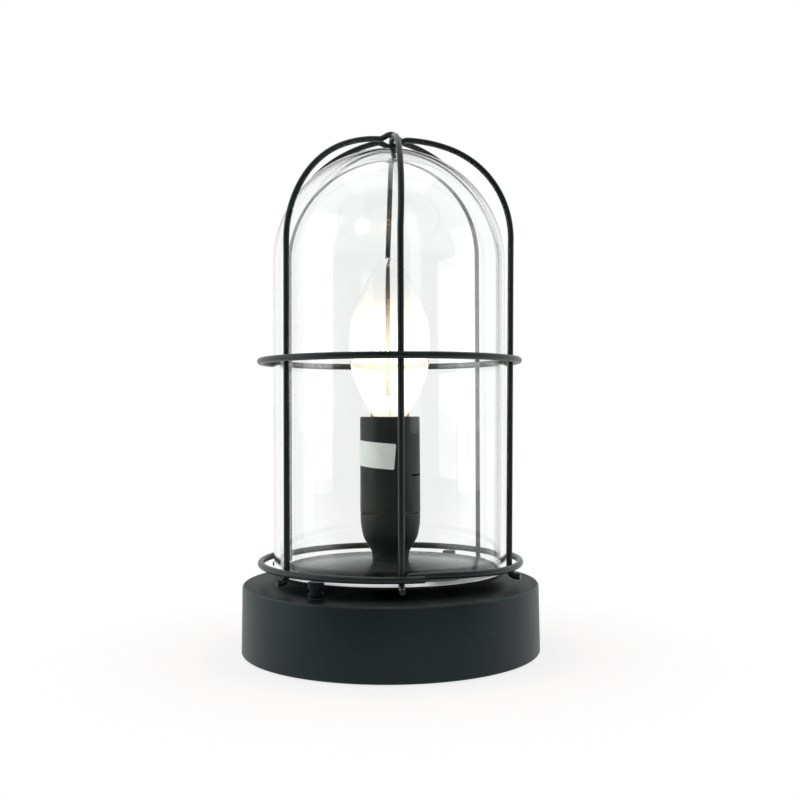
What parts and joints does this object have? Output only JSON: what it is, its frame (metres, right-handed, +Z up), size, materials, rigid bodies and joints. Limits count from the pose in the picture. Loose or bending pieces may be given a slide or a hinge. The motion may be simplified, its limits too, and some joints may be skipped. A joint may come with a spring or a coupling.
{
  "type": "table lamp",
  "caption": "Small table lamp: round black base, clear glass bell under a wire cage, upright holder with a candle bulb.",
  "frame": {"origin": "centre of the base, on the surface that the lamp stands on", "axes": "+Z up, -Y towards the viewer of the picture, the lap of the bottom ring faces -Y, +X to the viewer's right"},
  "size_m": [0.1276, 0.1288, 0.2239],
  "materials": {
    "black_paint": "satin black powder coat, slightly textured",
    "tray_paint": "satin black paint on spun sheet",
    "wire_paint": "semi-gloss black paint on drawn wire",
    "black_plastic": "moulded black plastic, fine matte",
    "clear_glass": "clear blown glass, polished",
    "bulb_glass": "thin clear bulb glass",
    "bare_steel": "zinc plated",
    "dark_steel": "blackened steel",
    "ballast_iron": "raw casting",
    "brass": "bare brass",
    "rubber": "soft black rubber",
    "felt": "dense black felt",
    "paper": "blank white sticker",
    "ceramic": "unglazed insulator",
    "brown_lead": "brown lead insulation",
    "blue_lead": "blue lead insulation",
    "green_lead": "green and yellow lead insulation",
    "filament_wire": "glowing tungsten"
  },
  "bodies": {
    "lamp": {"base_shell": "black_paint", "foot_pad": "felt", "bottom_plate": "dark_steel", "bottom_screw_1": "bare_steel", "bottom_screw_2": "bare_steel", "bottom_screw_3": "bare_steel", "ballast": "ballast_iron", "cord_inlet_bush": "black_plastic", "nipple": "bare_steel", "base_washer": "bare_steel", "earth_tag": "brass", "base_nut": "bare_steel", "spacer": "black_paint", "glass_tray": "tray_paint", "grommet_1": "rubber", "grommet_2": "rubber", "holder_cap": "black_plastic", "lock_screw": "bare_steel", "holder_sleeve": "black_plastic", "holder_label": "paper", "terminal_screw_1": "brass", "terminal_screw_2": "brass", "holder_insulator": "ceramic", "screw_shell": "brass", "centre_contact": "brass", "side_contact": "brass", "terminal_block": "ceramic", "lead_live": "brown_lead", "lead_neutral": "blue_lead", "lead_earth": "green_lead"},
    "glass": {"glass_dome": "clear_glass"},
    "cage": {"cage_ring_mid": "wire_paint", "cage_ring_base": "wire_paint", "cage_hoop_a": "wire_paint", "cage_hoop_b": "wire_paint", "cage_hoop_c": "wire_paint", "cage_bush_1": "dark_steel", "cage_bush_2": "dark_steel"},
    "bulb_travel": {"bulb_contact": "brass"},
    "bulb": {"bulb_glass": "bulb_glass", "bulb_cap": "brass", "bulb_insulator": "black_plastic", "bulb_stem": "bulb_glass", "bulb_lead_1": "bare_steel", "bulb_lead_2": "bare_steel", "bulb_support_1": "bare_steel", "bulb_support_2": "bare_steel", "filament": "filament_wire"}
  },
  "joints": [
    {"name": "glass_lift", "type": "slide", "parent": "lamp", "child": "glass", "axis": [0, 0, 1], "range_m": [0, 0.14]},
    {"name": "cage_lift", "type": "slide", "parent": "glass", "child": "cage", "axis": [0, 0, 1], "range_m": [0, 0.185]},
    {"name": "bulb_rise", "type": "slide", "parent": "lamp", "child": "bulb_travel", "axis": [0, 0, 1], "range_m": [0, 0.017]},
    {"name": "bulb_turn", "type": "hinge", "parent": "bulb_travel", "child": "bulb", "pos_m": [0, 0, 0.09], "axis": [0, 0, 1], "range_deg": [0, 2160]}
  ],
  "couplings": [
    {"joint": "bulb_rise", "follows": "bulb_turn", "m_per_rad": 0.00044882}
  ]
}
